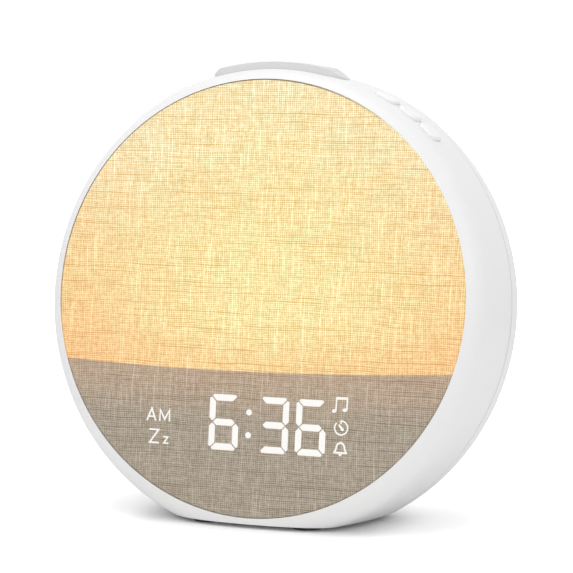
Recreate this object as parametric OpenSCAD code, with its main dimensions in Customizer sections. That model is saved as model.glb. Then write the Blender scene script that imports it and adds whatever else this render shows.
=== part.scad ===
// Sunrise alarm clock: a round lamp body with a fabric front, standing on a flat base.
// The front face leans back. Depths are measured from the fabric's front, square to the face.

/* [Body] */
// Largest diameter of the round body
body_d = 176.3; // [172:0.1:182]
// Depth from the fabric to the flat back
body_depth = 50.4; // [48:0.1:56]
// Depth of the joint between the housing and the rear cover
seam_depth = 32.7; // [31.5:0.1:34]
// Lengthwise bulge radius of the body wall
crown_r = 270; // [220:5:400]
// Rounding of the front shoulder
shoulder_r = 10.1; // [9:0.1:11]
// Rounding of the back edge
back_round_r = 12.8; // [11:0.1:14]
// How far the shoulder's highest ring stands in front of the fabric
lip_proud = 0.6; // [0.2:0.1:1]
// Lean of the front face, in degrees
face_tilt = 6.8; // [4:0.1:9]
// How deep the flat base cuts into the round body, below its axis
base_cut = 6.95; // [6.5:0.05:7.5]
// How far the body's axis lies below the fabric's centre
axis_drop = 1.5; // [0.5:0.1:2]
// Wall of the housing and the rear cover
wall = 2.2; // [2:0.1:2.4]
// Floor of the housing and the rear cover
base_wall = 2.6; // [2.4:0.1:3]
// Open joint between the housing and the rear cover
seam_gap = 0.3; // [0.2:0.05:0.5]
// Width of the groove along that joint
seam_groove = 1.1; // [0.8:0.1:1.4]
// Length of the rear cover's locating rim
rim_len = 2.6; // [2:0.1:3]
// Thickness of that rim
rim_t = 1.3; // [1.1:0.1:1.5]

/* [Fabric front] */
// Width of the white ring, from the body's widest circle in to the fabric
ring_w = 7.6; // [7.2:0.05:8]
// Thickness of the cloth
fabric_t = 0.6; // [0.4:0.1:0.8]
// Thickness of the translucent panel behind the cloth
panel_t = 2; // [1.8:0.1:2.4]
// Gap all round between the cloth and the housing
fabric_gap = 0.35; // [0.25:0.05:0.5]
// Width of the ledge that carries the panel
ledge_w = 4.5; // [4:0.1:5]
// Thickness of that ledge
ledge_t = 3.4; // [3:0.1:3.6]

/* [Light chamber] */
// Play between the ledge and the light frame's wall
frame_play = 1.5; // [1:0.1:2]
// Wall of the light frame
frame_wall = 1.6; // [1.4:0.1:2]
// How far the light frame's flange stays inside the fabric's edge
flange_in = 0.5; // [0.3:0.1:1]
// Thickness of that flange
flange_t = 1.6; // [1.4:0.1:1.8]
// Depth of the light frame's floor
frame_floor = 18.2; // [17.5:0.1:19]
// Distance from the display block up to the light divider
divider_gap = 6; // [5.5:0.1:6.5]
// Radius of the divider's slight curve
divider_r = 1313; // [1000:1:1600]
// Thickness of the foam between the frame and the panel
gasket_t = 0.8; // [0.6:0.1:1]
// Thickness of the light board
led_board_t = 1.2; // [1:0.1:1.6]
// Spacing of the lamps on the light board
led_pitch = 16; // [14:0.5:20]
// Width of one lamp
led_w = 3.5; // [3:0.1:5]
// Height of one lamp above its board
led_t = 0.8; // [0.6:0.1:1.2]

/* [Display] */
// Height of a numeral, between its end bars' middles
digit_h = 18.1; // [17:0.1:19]
// Width of a numeral, between its side bars' middles
digit_w = 9.4; // [9:0.1:10]
// Width of a numeral's bar
bar_w = 2.4; // [2:0.1:2.6]
// Spacing of the numerals within a pair
digit_pitch = 14.63; // [14.4:0.01:15]
// Spacing of the two numerals beside the colon
colon_pitch = 19.9; // [19.5:0.1:20.4]
// Diameter of the colon's dots
dot_d = 2.3; // [2:0.1:2.6]
// Place of the colon right of the centre
colon_x = -0.7; // [-1.5:0.1:0.5]
// Height of the numerals' middle bar above the fabric's lower edge
digit_up = 34.35; // [33.5:0.05:35]
// Width of the display block
display_w = 84; // [83:0.5:85]
// Height of the display block
display_h = 26; // [25:0.5:27]
// Thickness of the display block
display_t = 8; // [7:0.1:9]
// Diameter of the light guides behind the indicator signs
guide_d = 4; // [3.5:0.1:4.4]
// Distance from the panel to the display block
display_gap = 0.8; // [0.6:0.1:1.2]
// Thickness of the boards
board_t = 1.2; // [1:0.1:1.6]

/* [Keys] */
// Width of the snooze bar at the body's surface
snooze_w = 52; // [50:0.1:54]
// Width of the snooze bar's top, between its sloping ends
snooze_top_w = 40; // [38:0.5:42]
// Length of the snooze bar from front to back
snooze_len = 16.8; // [15:0.1:17]
// Depth of the snooze bar's front edge
snooze_front = 6.6; // [6.5:0.1:7]
// Height of the snooze bar above the body
snooze_rise = 2.5; // [2:0.1:3]
// Travel of the snooze bar
snooze_travel = 1.2; // [0.8:0.1:1.25]
// Slope of the snooze bar's ends, sideways per unit of height
end_slope = 1.57; // [1.3:0.01:1.8]
// Corner radius of the snooze bar
snooze_corner = 6.5; // [5:0.1:7.5]
// Width of a left key
left_key_w = 13.8; // [12:0.1:14]
// Spacing of the left keys
left_pitch = 14.9; // [14.7:0.1:15.5]
// Angle of the left keys from the top
left_angle = -33; // [-36:0.1:-32]
// Width of a right key
right_key_w = 8.4; // [7.4:0.1:9.2]
// Spacing of the right keys
right_pitch = 10.4; // [9.6:0.1:11]
// Angle of the right keys from the top
right_angle = 35.7; // [34:0.1:37]
// Length of the side keys from front to back
key_len = 9; // [8:0.1:10.5]
// Depth of the side keys' front edges
key_front = 11; // [10:0.1:12.5]
// Height of the side keys above the body
key_rise = 1.3; // [0.8:0.1:1.6]
// Travel of the side keys
key_travel = 0.7; // [0.4:0.1:1]
// Corner radius of the side keys
key_corner = 2.6; // [1.5:0.1:3]
// Gap round each key
key_gap = 0.2; // [0.15:0.05:0.3]
// How far the keys' hidden flanges reach past the keys
key_lip = 1.2; // [0.8:0.1:1.3]

/* [Switches] */
// Width of a switch
switch_w = 6; // [5:0.1:6.4]
// Height of a switch's case
switch_h = 2.6; // [2.4:0.1:2.8]
// Diameter of a switch's plunger
stem_d = 3; // [2.5:0.1:3.4]
// Height of a plunger above its case
stem_rise = 1.4; // [1.3:0.1:1.6]
// Play of the plunger in its case
stem_play = 0.08; // [0.05:0.01:0.1]
// How far the plungers' tops lie below the body's widest circle
stem_drop = 6.15; // [5.95:0.05:6.35]
// Thickness of the switch boards
key_board_t = 1; // [0.8:0.1:1.1]
// Length along the wall of a side switch board
key_board_w = 35; // [34:0.5:36]
// Length along the wall of the snooze switch board
snooze_board_w = 44; // [42:0.5:46]

/* [Back] */
// Diameter of the speaker grille
grille_d = 46; // [44:0.1:48]
// Thickness of the grille
grille_t = 1.4; // [1.2:0.1:1.5]
// Diameter of a hole in the grille
grille_hole_d = 2.2; // [1.6:0.1:2.6]
// Spacing of the holes in the grille
grille_pitch = 4.4; // [4:0.1:4.6]
// Height of the speaker above the fabric's centre
speaker_y = 14; // [8:0.5:20]
// Diameter of the speaker's frame
speaker_d = 45; // [43.5:0.1:46]
// Depth of the speaker from its rim to its magnet's end
speaker_depth = 17; // [15:0.1:18]
// Diameter of the speaker's magnet
magnet_d = 24; // [20:0.5:26]
// Length of the speaker's magnet
magnet_len = 7.5; // [6:0.1:8]
// Height of the battery door's middle above the body's lowest point
door_up = 55.65; // [55:0.05:57]
// Width of the battery door
door_w = 25; // [24.5:0.1:28]
// Height of the battery door
door_h = 26; // [25.5:0.1:28]
// Thickness of the battery door
door_t = 1.8; // [1.6:0.1:1.8]
// Radius of the battery door's hinge barrel
hinge_r = 1.2; // [1.1:0.05:1.2]
// Diameter of the battery door's hinge pins
hinge_pin_d = 1.3; // [1.2:0.05:1.3]
// Play of the hinge pins
hinge_play = 0.05; // [0.03:0.01:0.08]
// Play round the battery door
door_gap = 0.2; // [0.15:0.05:0.3]
// Diameter of the coin cell
cell_d = 20; // [19.5:0.1:20.5]
// Thickness of the coin cell
cell_t = 3.2; // [2.5:0.1:3.3]
// Height of the power inlet above the body's lowest point
inlet_up = 47.65; // [47:0.05:49]
// Width of the power inlet's metal sleeve
inlet_w = 9; // [8.9:0.05:9.2]
// Height of the power inlet's metal sleeve
inlet_h = 3.3; // [3.2:0.05:3.5]

/* [Feet] */
// Height of the base above the table
foot_h = 1.6; // [1:0.1:2.5]
// Diameter of a rubber foot
foot_d = 11; // [9:0.5:12]
// Sideways spacing of the two front feet
front_feet = 40; // [36:1:44]
// Sideways spacing of the two back feet
back_feet = 52; // [46:1:56]
// Depth of the front feet behind the base's front edge
front_foot_y = 11; // [9:0.5:13]
// Depth of the back feet behind the base's front edge
back_foot_y = 41; // [38:0.5:42]
// How deep the feet sit in the base
foot_pocket = 0.9; // [0.6:0.1:1.1]

/* [Screws] */
// Diameter of the case screws
screw_d = 2.8; // [2.6:0.1:3]
// Diameter of the case screws' heads
screw_head_d = 5; // [4.8:0.1:5.2]
// How far the case screws lie inside the body's widest circle
screw_in = 5.95; // [5.75:0.05:6.2]

/* [Main board] */
// Width of the main board
main_w = 92; // [88:1:94]
// Height of the main board
main_h = 48; // [46:1:50]
// Height of the main board's lower edge above the light frame's lower edge
main_up = 16.55; // [15.5:0.05:18]
// Length of the posts between the light frame and the main board
post_len = 4.2; // [4:0.1:5]
// Diameter of the posts
post_d = 5.2; // [4.8:0.1:5.6]
// Diameter of a capacitor
capacitor_d = 6.4; // [5:0.1:8]
// Length of a capacitor
capacitor_len = 7; // [5:0.5:9]
// Width of a plug connector
connector_w = 9; // [8:0.5:10]
// Depth of a plug connector
connector_t = 4.5; // [4:0.1:5]
// Thickness of the flat ribbons
ribbon_t = 0.4; // [0.3:0.05:0.5]
// Diameter of the wires
wire_d = 1.2; // [1:0.1:1.4]

/* [Hidden] */
$fn = 120;

// Colours
white_shell = "white";
grey_shell = [0.86, 0.86, 0.87];
cloth = [0.96, 0.84, 0.58];
circuit_green = [0.10, 0.38, 0.24];
dark_plastic = [0.16, 0.16, 0.17];
metal = [0.78, 0.79, 0.80];

// Radii and heights that follow the body
fabric_d = body_d - 2 * ring_w;
ledge_d = fabric_d - 2 * ledge_w;
frame_d = ledge_d - 2 * frame_play;
flange_d = fabric_d - 2 * flange_in;
stem_top = body_d / 2 - stem_drop;
screw_ring_r = body_d / 2 - screw_in;
low_point = body_d / 2 + axis_drop;
centre_height = low_point - base_cut;
digit_y = fabric_d / 2 - digit_up;
divider_y = digit_y - display_h / 2 - divider_gap;

// Profile of the body: three arcs that meet smoothly. x is the radius and y is minus the depth.
round_cut = 0.05;
crown_x = body_d / 2 - crown_r;
crown_z = -seam_depth;
shoulder_z = lip_proud - shoulder_r + round_cut;
shoulder_angle = asin((shoulder_z - crown_z) / (crown_r - shoulder_r));
shoulder_x = crown_x + (crown_r - shoulder_r) * cos(shoulder_angle);
round_z = back_round_r - body_depth - round_cut;
round_angle = asin((round_z - crown_z) / (crown_r - back_round_r));
round_x = crown_x + (crown_r - back_round_r) * cos(round_angle);
crown_top = crown_z + crown_r * sin(shoulder_angle);
crown_low = crown_z + crown_r * sin(round_angle);

// The face's centre, placed so that the whole body is centred above the origin
edge_r = fabric_d / 2 + fabric_gap;
edge_z = shoulder_z + sqrt(pow(shoulder_r, 2) - pow(edge_r - axis_drop - shoulder_x, 2));
front_reach = -edge_r * sin(face_tilt) - edge_z * cos(face_tilt);
back_reach = (round_x - axis_drop) * sin(face_tilt) - round_z * cos(face_tilt) + back_round_r;
face_y = -(front_reach + back_reach) / 2;
face_z = foot_h + centre_height;

// Depths of the layers behind the cloth
panel_front = fabric_t;
ledge_front = fabric_t + panel_t;
ledge_back = ledge_front + ledge_t;
frame_front = ledge_front + gasket_t;
flange_back = ledge_back + flange_t;
frame_back = frame_floor + frame_wall;
led_board_front = frame_floor - led_board_t;
display_x = -1;
display_corner = 3;
display_front = ledge_front + display_gap;
display_back = display_front + display_t;
main_front = frame_back + post_len;
main_back = main_front + board_t;
back_inside = body_depth - wall;
chamber_r = frame_d / 2 - frame_wall;
divider_centre = divider_r - divider_y;
wall_bite = 0.5;
board_play = 0.4;
flange_lift = 3.4;
post_bore = 3.4;
slot_h = 3;
led_ribbon_w = 12;
display_ribbon_w = 16;
led_slot_y = 7 - divider_y;
display_slot_y = -digit_y - 1;

// Keys
key_inside = stem_top + 2.2;
case_top = stem_top - stem_rise;
key_board_top = case_top - switch_h;
stem_hold = 0.7;
snooze_switch_x = 14;
snooze_mid = snooze_front + snooze_len / 2;
key_mid = key_front + key_len / 2;
far_r = body_d / 2 + 8;
flange_play = 0.2;
board_boss_r = 2.2;
boss_clear = 1;
snooze_boss_depth = snooze_front + snooze_len + key_lip + board_boss_r + boss_clear;
snooze_boss_x = 18;
key_boss_depth = key_front + key_len + key_lip + board_boss_r + boss_clear;
key_boss_x = 14;
key_board_edge = 2.4;
key_board_front = 6;
small_screw_d = 2;
small_head_d = 3.8;
small_head_t = 1.2;

// Case screws, as angles from the top
screw_angles = [-61, 61, -125, 125];
boss_r = 3.2;
screw_hold = 9;
screw_seat = seam_depth + 4;
screw_head_t = 2;
rib_t = 2;
rib_w = 6;
boss_play = 0.5;
screw_play = 0.1;
thread_play = 0.05;

// Frame screws
frame_screw_angles = [-80, 80, -108, 108];
frame_screw_r = flange_d / 2 - 2.6;

// Back
speaker_r = speaker_d / 2;
gasket_soft = 0.8;
speaker_front = back_inside - gasket_soft;
speaker_flange_t = 1.2;
speaker_end = speaker_front - speaker_depth;
basket_end = speaker_end + magnet_len;
pole_r = 5;
basket_wide = speaker_r - 3;
basket_narrow = magnet_d / 2 + 0.5;
basket_wall = 0.8;
surround_r = 1.5;
cone_rim = basket_wide - basket_wall - 2 * surround_r;
speaker_screw_r = speaker_r + 3;
speaker_screw_angles = [30, 150, 270];
door_x = -32;
door_y = door_up - low_point;
door_seat = body_depth - door_t;
hinge_y = door_y - door_h / 2 + hinge_r;
hinge_depth = body_depth - hinge_r;
hinge_pin_len = 1.5;
pocket_in = cell_d + 1.6;
pocket_wall = 1.4;
pocket_floor = door_seat - cell_t - 2.1;
contact_t = 0.3;
inlet_x = 32;
inlet_y = inlet_up - low_point;
inlet_t = 0.35;
inlet_len = 8.6;
power_back = body_depth - inlet_len;
power_front = power_back - board_t;
power_w = 22;
power_h = 16;

// Feet, as [sideways, depth along the base]
foot_places = [for (s = [-1, 1], f = [[front_feet, front_foot_y], [back_feet, back_foot_y]])
  [s * f[0] / 2, f[1]]];

// Main board
main_y = main_up - frame_d / 2 + main_h / 2;
post_r = post_d / 2;
post_in = 4;
post_places = [for (sx = [-1, 1], sy = [-1, 1])
  [sx * (main_w / 2 - post_in), main_y + sy * (main_h / 2 - post_in)]];
wire_r = wire_d / 2;

// Places the face: local z points out of the fabric and local y points up the face
module at_face() translate([0, face_y, face_z]) rotate([90 - face_tilt, 0, 0]) children();

// Moves from the fabric's centre to the body's axis
module on_axis() translate([0, -axis_drop, 0]) children();

// A flat plate of a 2D outline, from one depth to a deeper one
module layer(front, back) translate([0, 0, -back]) linear_extrude(back - front) children();

// A disc or a round bar between two depths
module round_layer(r, front, back) translate([0, 0, -back]) cylinder(r = r, h = back - front);

// Everything above a height, in the table's frame
module above(height) translate([-body_d, -body_d, height]) cube(2 * body_d);

// Outline of the body's profile, drawn in by a wall. The flats cut the rounds very slightly.
module body_outline(inset = 0) intersection() {
  union() {
    intersection() {
      translate([crown_x, crown_z]) circle(crown_r - inset, $fn = 900);
      translate([0, crown_low]) square([body_d, crown_top - crown_low]);
    }
    translate([shoulder_x, shoulder_z]) circle(shoulder_r - inset);
    translate([round_x, round_z]) circle(back_round_r - inset);
    translate([0, round_z - back_round_r / 2]) square([round_x, back_round_r]);
    translate([0, shoulder_z - shoulder_r / 2]) square([shoulder_x, shoulder_r]);
    translate([0, -body_depth]) square([round_x, back_round_r]);
    translate([0, lip_proud - shoulder_r]) square([shoulder_x, shoulder_r]);
  }
  translate([0, inset - body_depth]) square([body_d, body_depth + lip_proud - 2 * inset]);
}

// The part of a profile between two depths
module band(front, back) intersection() {
  children();
  translate([0, -back]) square([body_d, back - front]);
}

// Revolves a profile about the body's axis
module turned() on_axis() rotate_extrude($fn = 240) children();

module rounded_rect(w, h, r) {
  square([w - 2 * r, h], center = true);
  square([w, h - 2 * r], center = true);
  for (sx = [-1, 1], sy = [-1, 1]) translate([sx * (w / 2 - r), sy * (h / 2 - r)]) circle(r);
}

// Turns to an angle from the top: local z points outwards along the radius, and y to the front
module outwards(angle, sideways = 0, depth = 0)
  on_axis() rotate([0, 0, -angle]) translate([sideways, 0, -depth]) rotate([-90, 0, 0])
    mirror([0, 1, 0]) children();

// A bar that points outwards, with a rounded outline
module key_bar(w, len, corner, from, to)
  translate([0, 0, from]) linear_extrude(to - from) rounded_rect(w, len, corner);

// Places on the body's axis circle, for the case screws
module at_screws() for (a = screw_angles)
  on_axis() translate([screw_ring_r * sin(a), screw_ring_r * cos(a), 0]) children();

// Ribs that join the screws' bosses to the wall
module at_boss_ribs() for (a = screw_angles)
  on_axis() rotate([0, 0, -a]) translate([0, screw_ring_r + rib_w / 3, 0]) children();

module at_frame_screws() for (a = frame_screw_angles)
  translate([frame_screw_r * sin(a), frame_screw_r * cos(a), 0]) children();

// Places on the underside, at the level of the base
module at_feet() for (p = foot_places)
  translate([p[0], face_y - centre_height * tan(face_tilt) + p[1], foot_h]) children();

// The slot of one key through the wall
module key_slot(angle, sideways, w, len, depth, corner)
  outwards(angle, sideways, depth)
    key_bar(w + 2 * key_gap, len + 2 * key_gap, corner + key_gap, key_inside - 4, far_r);

// A boss that hangs from the wall and carries the end of a switch board
module board_boss(angle, sideways, depth) intersection() {
  outwards(angle, sideways, depth) translate([0, 0, key_board_top])
    cylinder(r = board_boss_r, h = far_r - key_board_top);
  turned() band(0, seam_depth) body_outline(wall / 2);
}

module screw_hole(angle, sideways, depth)
  outwards(angle, sideways, depth) translate([0, 0, key_board_top - key_board_t - 1])
    cylinder(d = small_screw_d + 0.1, h = key_board_t + 4);

module small_screw(len) {
  translate([0, 0, -small_head_t]) cylinder(d = small_head_d, h = small_head_t);
  cylinder(d = small_screw_d, h = len);
}

// All key slots of the housing
module key_slots() {
  key_slot(0, 0, snooze_w, snooze_len, snooze_mid, snooze_corner);
  for (i = [0, 1]) key_slot(left_angle, (i - 0.5) * left_pitch, left_key_w, key_len, key_mid, key_corner);
  for (i = [-1, 0, 1]) key_slot(right_angle, i * right_pitch, right_key_w, key_len, key_mid, key_corner);
}

module board_bosses() for (s = [-1, 1]) {
  board_boss(0, s * snooze_boss_x, snooze_boss_depth);
  board_boss(left_angle, s * key_boss_x, key_boss_depth);
  board_boss(right_angle, s * key_boss_x, key_boss_depth);
}

module board_screw_places() for (s = [-1, 1]) {
  outwards(0, s * snooze_boss_x, snooze_boss_depth) children();
  outwards(left_angle, s * key_boss_x, key_boss_depth) children();
  outwards(right_angle, s * key_boss_x, key_boss_depth) children();
}

module seam_cut() translate([body_d / 2, crown_z]) rotate(45) square(seam_groove, center = true);

// Round shell of the front: the ring that one sees, its ledge, floor, bosses and key slots
module front_housing() color(white_shell) difference() {
  union() {
    difference() {
      intersection() {
        at_face() turned() difference() {
          band(-lip_proud - 1, seam_depth - seam_gap / 2) body_outline();
          seam_cut();
        }
        above(foot_h);
      }
      intersection() {
        at_face() turned() band(ledge_back, seam_depth + 1) body_outline(wall);
        above(foot_h + base_wall);
      }
    }
    at_face() board_bosses();
    at_face() intersection() {
      at_screws() round_layer(boss_r, ledge_back - 1, seam_depth);
      turned() band(0, seam_depth) body_outline(wall / 2);
    }
    at_face() intersection() {
      at_boss_ribs() layer(ledge_back - 1, seam_depth - rim_len - boss_play)
        square([rib_t, rib_w], center = true);
      turned() band(0, seam_depth) body_outline(wall / 2);
    }
  }
  at_face() {
    round_layer(fabric_d / 2 + fabric_gap, -lip_proud - 1, ledge_front);
    round_layer(ledge_d / 2, 0, ledge_back + 1);
    key_slots();
    at_screws() round_layer(screw_d / 2 + thread_play, seam_depth - screw_hold - 1, seam_depth + 1);
    at_frame_screws()
      round_layer(small_screw_d / 2 + thread_play, ledge_back - ledge_t + 0.8, ledge_back + 1);
    board_screw_places() translate([0, 0, key_board_top - 1])
      cylinder(d = small_screw_d + 0.1, h = 4);
  }
  at_feet() translate([0, 0, -1]) cylinder(d = foot_d + 0.1, h = foot_pocket + 1);
}

module door_outline(grow = 0) translate([door_x, door_y])
  square([door_w + 2 * grow, door_h + 2 * grow], center = true);

module pocket_outline(grow = 0) translate([door_x, door_y])
  square([pocket_in + 2 * grow, pocket_in + 2 * grow], center = true);

module inlet_outline(grow = 0) translate([inlet_x, inlet_y])
  rounded_rect(inlet_w + 2 * grow, inlet_h + 2 * grow, inlet_h / 2 + grow - 0.01);

module power_posts(r, front, back) for (s = [-1, 1])
  translate([inlet_x + s * (power_w / 2 - 3), inlet_y, 0]) round_layer(r, front, back);

module speaker_post_places() for (a = speaker_screw_angles)
  translate([speaker_screw_r * cos(a), speaker_y + speaker_screw_r * sin(a), 0]) children();

// Dished rear shell with its locating rim, screw columns, speaker seat and battery compartment
module rear_cover() color(white_shell) difference() {
  union() {
    difference() {
      intersection() {
        at_face() turned() difference() {
          band(seam_depth + seam_gap / 2, body_depth + 1) body_outline();
          seam_cut();
        }
        above(foot_h);
      }
      intersection() {
        at_face() turned() band(seam_depth - 1, body_depth) body_outline(wall);
        above(foot_h + base_wall);
      }
    }
    // Locating rim that slides inside the housing
    intersection() {
      at_face() difference() {
        turned() difference() {
          union() {
            band(seam_depth - rim_len, seam_depth + rim_len) body_outline(wall + 0.15);
            band(seam_depth + seam_gap / 2, seam_depth + rim_len) body_outline(wall / 2);
          }
          body_outline(wall + 0.15 + rim_t);
        }
        at_screws() round_layer(boss_r + 1, seam_depth - rim_len - 1, seam_depth);
      }
      above(foot_h + base_wall + 0.2);
    }
    at_face() intersection() {
      at_screws() round_layer(boss_r, seam_depth, body_depth);
      turned() band(0, body_depth) body_outline(wall / 2);
    }
    at_face() {
      layer(pocket_floor - pocket_wall, back_inside + 0.5) pocket_outline(pocket_wall);
      layer(door_seat - 1.6, back_inside + 0.5) door_outline(door_gap + pocket_wall);
      power_posts(post_r, power_back, back_inside + 0.5);
      speaker_post_places() round_layer(post_r, speaker_front - speaker_flange_t, back_inside + 0.5);
    }
  }
  at_face() {
    at_screws() {
      round_layer(screw_d / 2 + 0.2, seam_depth - 1, body_depth + 1);
      round_layer(screw_head_d / 2 + 0.2, screw_seat, body_depth + 1);
    }
    translate([0, speaker_y, 0]) {
      round_layer(grille_d / 2 + 0.15, body_depth - grille_t, body_depth + 1);
      round_layer(grille_d / 2 - 3, back_inside - 1, body_depth + 1);
    }
    speaker_post_places()
      round_layer(small_screw_d / 2 + 0.05, speaker_front - speaker_flange_t - 1, back_inside);
    power_posts(small_screw_d / 2 + 0.05, power_back - 1, back_inside);
    layer(door_seat, body_depth + 1) door_outline(door_gap);
    layer(pocket_floor, body_depth + 1) pocket_outline();
    hinge_cut();
    translate([door_x, door_y + door_h / 2, 0]) round_layer(4, body_depth - 0.9, body_depth + 1);
    layer(power_back, body_depth + 1) inlet_outline(0.2);
  }
  at_feet() translate([0, 0, -1]) cylinder(d = foot_d + 0.1, h = foot_pocket + 1);
}

// Room for the hinge barrel of the battery door, and the holes for its pins
module hinge_cut() translate([door_x, hinge_y, -hinge_depth]) rotate([0, 90, 0]) {
  cylinder(r = hinge_r + door_gap, h = door_w + 2 * door_gap, center = true);
  cylinder(d = hinge_pin_d + 2 * hinge_play, h = door_w + 2 * (hinge_pin_len + door_gap) + 0.4,
           center = true);
}

// Cloth with its edge wrapped round the panel
module fabric_front() color(cloth) at_face() difference() {
  round_layer(fabric_d / 2, 0, ledge_front - 0.2);
  round_layer(fabric_d / 2 - fabric_t, fabric_t, ledge_front);
}

// Translucent panel that carries the cloth
module front_panel() color([0.97, 0.96, 0.93]) at_face()
  round_layer(fabric_d / 2 - fabric_t - 0.05, panel_front, ledge_front);

// The region above a curved line: the divider's lower face, raised by a distance
module above_divider(raised) translate([0, divider_centre]) circle(divider_r - raised, $fn = 360);

// Outline of the frame's wall and its divider
module frame_walls() {
  difference() {
    circle(frame_d / 2);
    circle(chamber_r);
  }
  difference() {
    intersection() {
      circle(chamber_r + wall_bite);
      above_divider(0);
    }
    above_divider(frame_wall);
  }
}

// Foam that keeps the lamp's light out of the display
module light_gasket() color([0.93, 0.93, 0.92]) at_face() layer(ledge_front, frame_front) frame_walls();

module led_slot() translate([0, led_slot_y]) square([led_ribbon_w + 4, slot_h], center = true);

module display_slot() translate([0, display_slot_y]) square([display_ribbon_w + 4, slot_h], center = true);

// White reflector frame: a tray with a lamp chamber above the divider and a display pocket below
module light_frame() color([0.98, 0.98, 0.97]) at_face() difference() {
  union() {
    layer(frame_front, frame_floor + wall_bite) frame_walls();
    layer(frame_floor, frame_back) circle(frame_d / 2);
    layer(ledge_back, flange_back) difference() {
      circle(flange_d / 2);
      circle(chamber_r + wall_bite);
      translate([0, -centre_height + base_wall + flange_lift - body_d / 2]) square(body_d, center = true);
    }
    for (p = post_places) translate(p) round_layer(post_r, frame_back - wall_bite, main_front);
  }
  at_screws() round_layer(boss_r + boss_play, ledge_back - 1, flange_back + 1);
  at_boss_ribs() layer(ledge_back - 1, flange_back + 1) square([rib_t + 2 * boss_play, rib_w], center = true);
  at_frame_screws() round_layer(small_screw_d / 2 + screw_play, ledge_back - 1, flange_back + 1);
  for (p = post_places) translate(p)
    round_layer(small_screw_d / 2 + thread_play, main_front - post_bore, main_front + 1);
  layer(frame_floor - 1, frame_back + 1) {
    led_slot();
    display_slot();
  }
}

// Lamp board, cut to the shape of the lamp chamber
module led_board() color([0.93, 0.94, 0.93]) at_face() layer(led_board_front, frame_floor) difference() {
  intersection() {
    circle(chamber_r - board_play);
    above_divider(frame_wall + board_play);
  }
  led_slot();
}

// Grid of lamps that stay clear of the chamber's edge
function lamp_places() = [
  for (row = [0 : 6], col = [-5 : 5])
    let (x = (col + (row % 2) / 2) * led_pitch, y = -divider_y + 14 + row * led_pitch * 0.87)
    if (norm([x, y]) < chamber_r - 7 && (abs(x) > 10 || row > 0)) [x, y]];

module wake_leds() color([1, 0.93, 0.72]) at_face() for (p = lamp_places()) translate(p)
  layer(led_board_front - led_t, led_board_front) square([led_w, led_w * 0.8], center = true);

// Numerals: bars a to g of one numeral, as [x, y, turned upright]
bars = [[0, 1, 0], [1, 0.5, 1], [1, -0.5, 1], [0, -1, 0], [-1, -0.5, 1], [-1, 0.5, 1], [0, 0, 0]];
digit_places = [colon_x - colon_pitch / 2 - digit_pitch, colon_x - colon_pitch / 2,
                colon_x + colon_pitch / 2, colon_x + colon_pitch / 2 + digit_pitch];

module bar_shape(len, w) polygon([[-len / 2, 0], [-len / 2 + w / 2, w / 2], [len / 2 - w / 2, w / 2],
                                  [len / 2, 0], [len / 2 - w / 2, -w / 2], [-len / 2 + w / 2, -w / 2]]);

module numeral_bars(shrink = 0) for (x = digit_places, b = bars)
  translate([x + b[0] * digit_w / 2, -digit_y + b[1] * digit_h / 2]) rotate(b[2] * 90)
    bar_shape((b[2] == 1 ? digit_h / 2 : digit_w) - 0.5 - shrink, bar_w - shrink);

module display_marks(shrink = 0) {
  numeral_bars(shrink);
  for (s = [-1, 1]) translate([colon_x, -digit_y + s * digit_h / 4.3]) circle(d = dot_d - shrink);
  for (p = [[-37.5, 1.2], [-36.5, -7.5], [35.3, 9], [35.7, 0.7], [35.8, -7.2]])
    translate([p[0], -digit_y + p[1]]) circle(d = guide_d - shrink);
}

module display_block() translate([display_x, -digit_y]) rounded_rect(display_w, display_h, display_corner);

module display_housing() color(dark_plastic) at_face() layer(display_front, display_back) difference() {
  display_block();
  display_marks();
}

module display_segments() color([0.97, 0.97, 0.95]) at_face()
  layer(display_front, display_back - 1) display_marks(0.1);

module display_board() color(circuit_green) at_face() {
  layer(display_back, display_back + board_t) display_block();
  layer(display_back + board_t, frame_floor) for (s = [-1, 1])
    translate([display_x + s * (display_w / 2 - 2 * display_corner), -digit_y]) circle(display_corner);
}

// Main board on the frame's four posts, with its parts facing the back
module main_board() color(circuit_green) at_face() difference() {
  layer(main_front, main_back) translate([0, main_y]) rounded_rect(main_w, main_h, 2);
  for (p = post_places) translate(p)
    round_layer(small_screw_d / 2 + screw_play, main_front - 1, main_back + 1);
}

// Chips as [x, y, width, height, thickness]; places count from the board's middle
chips = [[-12, 4, 12, 12, 1.6], [10, 8, 8, 6, 1.6], [26, -6, 6, 5, 1.5]];
module board_chips() color(dark_plastic) at_face() for (c = chips)
  translate([c[0], main_y + c[1]]) layer(main_back, main_back + c[4]) square([c[2], c[3]], center = true);

module board_capacitors() color(metal) at_face() for (p = [[-32, 12], [-24, 12], [30, 8]])
  translate([p[0], main_y + p[1]]) round_layer(capacitor_d / 2, main_back, main_back + capacitor_len);

connector_places = [[0, main_y + 20], [24, main_y + 20], [38, main_y + 2]];
connector_h = 5;
module board_connectors() color([0.95, 0.94, 0.90]) at_face() for (p = connector_places)
  translate(p) layer(main_back, main_back + connector_t) square([connector_w, connector_h], center = true);

// Power inlet board behind its socket
module power_board() color(circuit_green) at_face() difference() {
  layer(power_front, power_back) translate([inlet_x, inlet_y]) square([power_w, power_h], center = true);
  power_posts(small_screw_d / 2 + screw_play, power_front - 1, power_back + 1);
}

module usb_inlet() color(metal) at_face() {
  layer(power_back, body_depth - 0.2) difference() {
    inlet_outline();
    inlet_outline(-inlet_t);
  }
  layer(power_back, power_back + 1.2) inlet_outline(-inlet_t / 2);
  layer(power_back, body_depth - 1.2) translate([inlet_x, inlet_y]) square([6.6, 0.7], center = true);
}

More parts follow.
